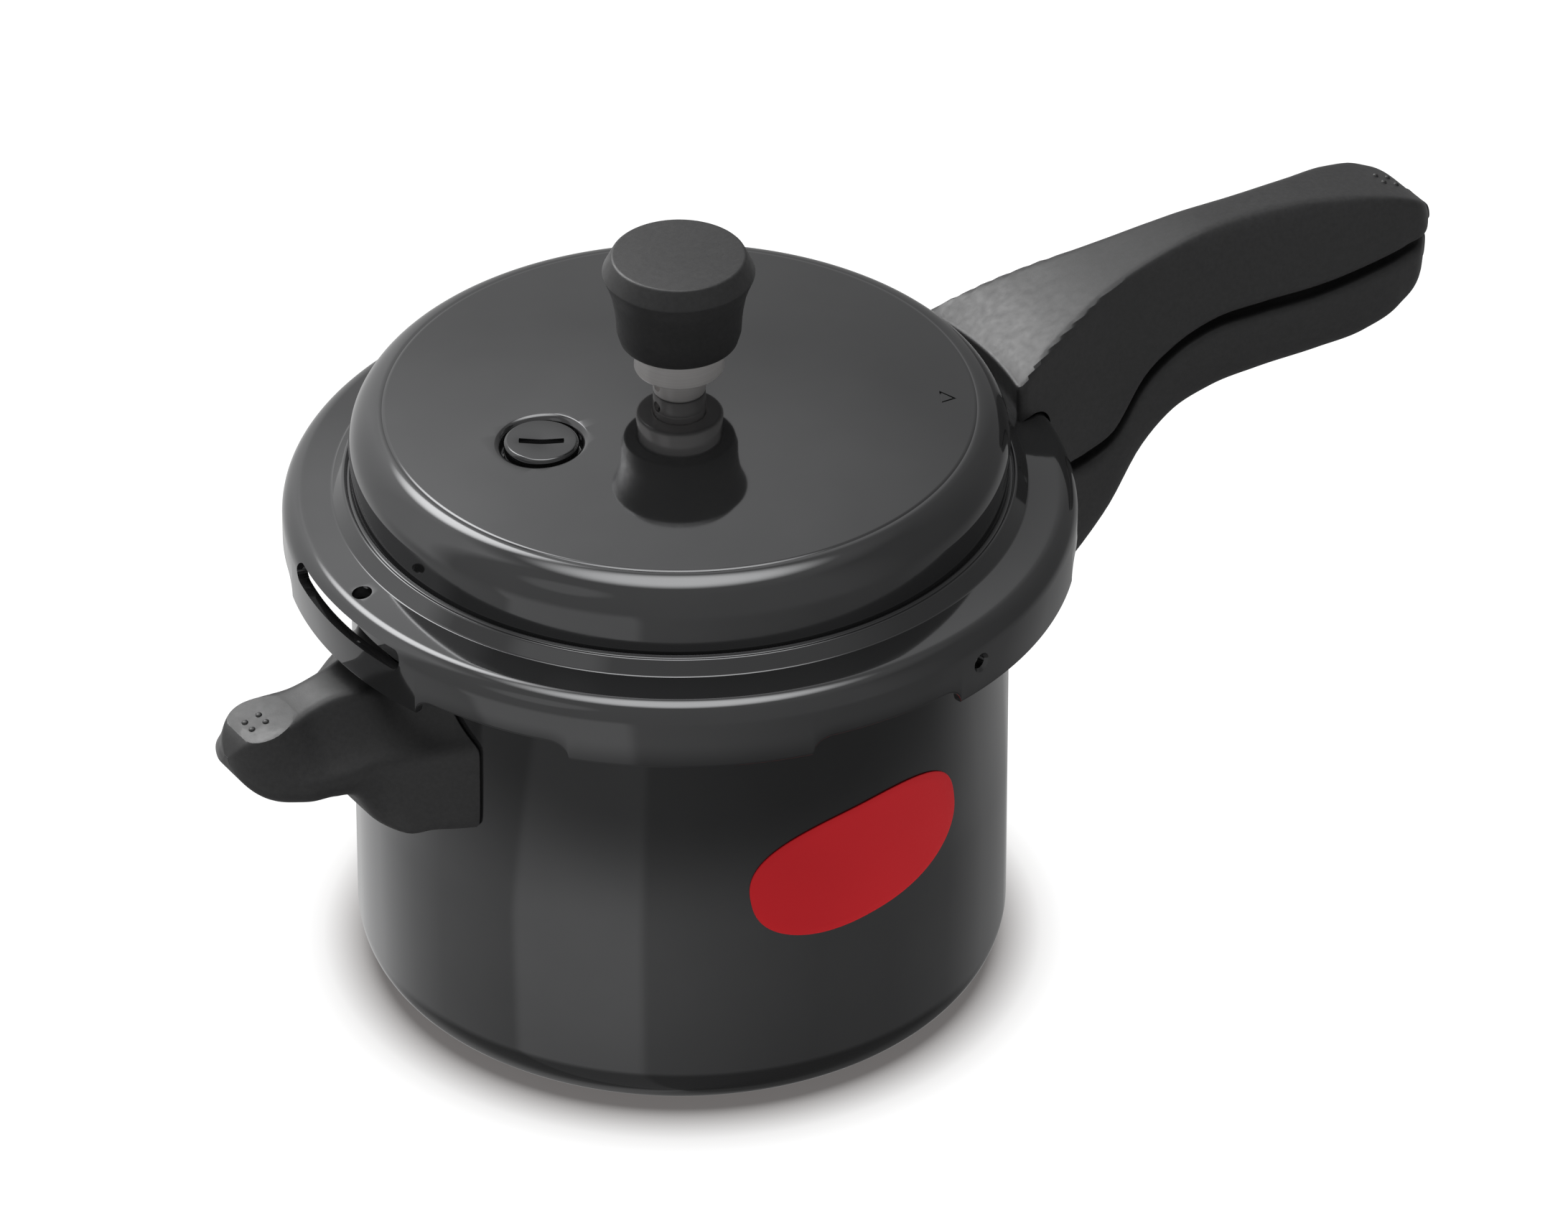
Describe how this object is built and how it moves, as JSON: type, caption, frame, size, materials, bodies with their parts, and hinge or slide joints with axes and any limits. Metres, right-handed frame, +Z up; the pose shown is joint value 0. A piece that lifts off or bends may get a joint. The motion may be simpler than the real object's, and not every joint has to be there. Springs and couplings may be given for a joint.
{
  "type": "stovetop pressure cooker",
  "caption": "Stovetop pressure cooker: anodised pot, outer bayonet lid with a weight valve and safety plug, long double handle and short helper grip.",
  "frame": {"origin": "centre of the pot's flat base, on the surface it stands on", "axes": "+X along the long handle, away from the pot; +Z up; the short helper grip points along -X"},
  "size_m": [0.386, 0.2166, 0.2212],
  "materials": {
    "anodised": "semi-gloss charcoal hard anodising",
    "bakelite": "fine-grained matte black moulding",
    "bracket_metal": "plain pressed sheet",
    "rivet_metal": "bright",
    "steel": "turned and brushed",
    "dark_plug": "charcoal anodised, turned",
    "fusible_alloy": "dull cast alloy",
    "rubber": "matte moulded",
    "label": "printed film"
  },
  "bodies": {
    "pot": {"pot_body": "anodised", "body_handle_bracket": "bracket_metal", "body_bracket_rivet_lower": "rivet_metal", "body_bracket_rivet_upper": "rivet_metal", "body_handle": "bakelite", "body_handle_screw": "steel", "helper_bracket": "bracket_metal", "helper_bracket_rivet_lower": "rivet_metal", "helper_bracket_rivet_upper": "rivet_metal", "helper_handle": "bakelite", "helper_handle_screw": "steel", "label_badge": "label"},
    "lid": {"lid_shell": "anodised", "lid_gasket": "rubber", "lid_bracket": "bracket_metal", "lid_bracket_rivet_left": "rivet_metal", "lid_bracket_rivet_right": "rivet_metal", "lid_handle": "bakelite", "lid_handle_screw": "steel", "vent_pipe": "steel", "vent_pipe_washer": "steel", "vent_pipe_nut": "steel", "safety_plug": "dark_plug", "safety_plug_washer": "rubber", "safety_plug_nut": "steel", "fusible_insert": "fusible_alloy"},
    "needle": {"weight_needle": "steel"},
    "weight": {"weight_body": "steel", "weight_clip": "steel", "weight_cap": "bakelite"}
  },
  "joints": [
    {"name": "lid_turn", "type": "hinge", "parent": "pot", "child": "lid", "pos_m": [0, 0, 0.141], "axis": [0, 0, 1], "range_deg": [0, 30]},
    {"name": "weight_lift", "type": "slide", "parent": "lid", "child": "needle", "axis": [0, 0, 1], "range_m": [0, 0.04]},
    {"name": "weight_spin", "type": "hinge", "parent": "needle", "child": "weight", "pos_m": [0, 0, 0.2], "axis": [0, 0, 1], "continuous": true}
  ]
}
